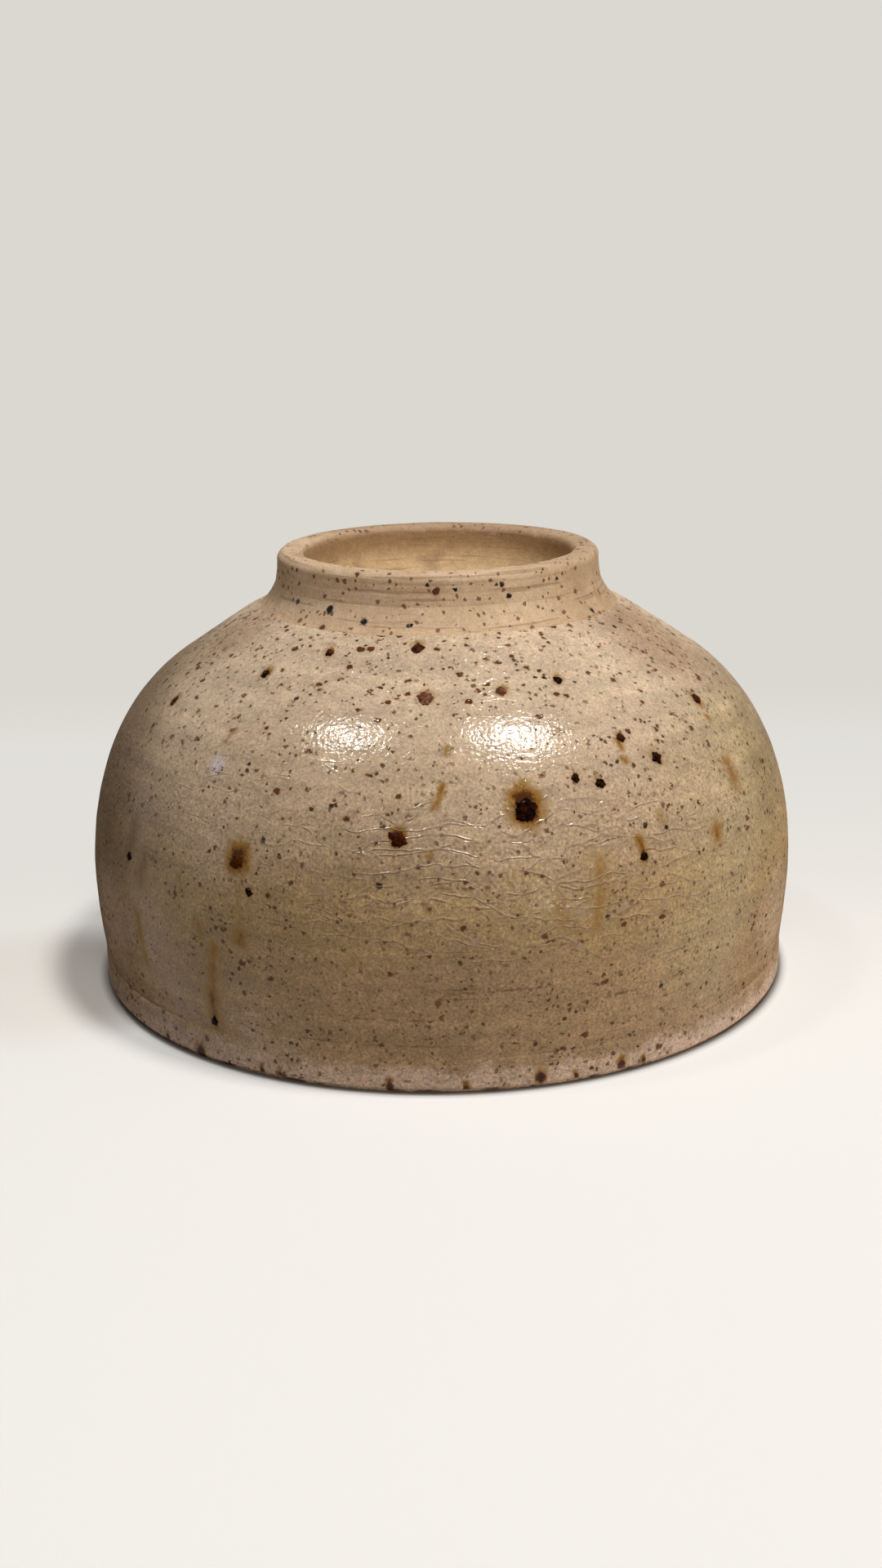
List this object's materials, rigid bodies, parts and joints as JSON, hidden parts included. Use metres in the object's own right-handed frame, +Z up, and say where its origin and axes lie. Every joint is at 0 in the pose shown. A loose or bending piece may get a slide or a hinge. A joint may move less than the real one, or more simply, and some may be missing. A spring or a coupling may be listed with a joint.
{
  "type": "tea bowl",
  "caption": "Thrown stoneware tea bowl standing mouth down on its rim: round-shouldered wall, turned foot ring, beige crackled glaze with iron spots. For drinking tea.",
  "frame": {"origin": "centre of the rim's circle, on the surface that the bowl stands on mouth down", "axes": "+Z up through the middle of the foot ring; -Y towards the viewer of the picture; +X to that viewer's right"},
  "size_m": [0.12, 0.12, 0.0724],
  "materials": {
    "bare_stoneware": "matt bare stoneware with fine iron specks",
    "luting_slip": "matt slip, smoothed by finger",
    "outer_glaze": "satin to glossy ash glaze with fine crackle and brown specks",
    "lip_glaze": "satin glaze, paler and pinker where it is doubled on the lip",
    "inner_glaze": "satin to glossy ash glaze with fine brown specks",
    "iron_bead": "glassy black-brown iron bead"
  },
  "bodies": {
    "root": {"bowl_body": "bare_stoneware", "foot_ring": "bare_stoneware", "luting_slip": "luting_slip", "outer_glaze": "outer_glaze", "lip_glaze": "lip_glaze", "inner_glaze": "inner_glaze", "iron_bead_01": "iron_bead", "iron_bead_02": "iron_bead", "iron_bead_03": "iron_bead", "iron_bead_04": "iron_bead", "iron_bead_05": "iron_bead", "iron_bead_06": "iron_bead", "iron_bead_07": "iron_bead", "iron_bead_08": "iron_bead", "iron_bead_09": "iron_bead", "iron_bead_10": "iron_bead", "iron_bead_11": "iron_bead", "iron_bead_12": "iron_bead", "iron_bead_13": "iron_bead", "iron_bead_14": "iron_bead", "iron_bead_15": "iron_bead", "iron_bead_16": "iron_bead", "iron_bead_17": "iron_bead", "iron_bead_18": "iron_bead", "iron_bead_19": "iron_bead", "iron_bead_20": "iron_bead", "iron_bead_21": "iron_bead", "iron_bead_22": "iron_bead", "iron_bead_23": "iron_bead", "iron_bead_24": "iron_bead"}
  },
  "joints": []
}
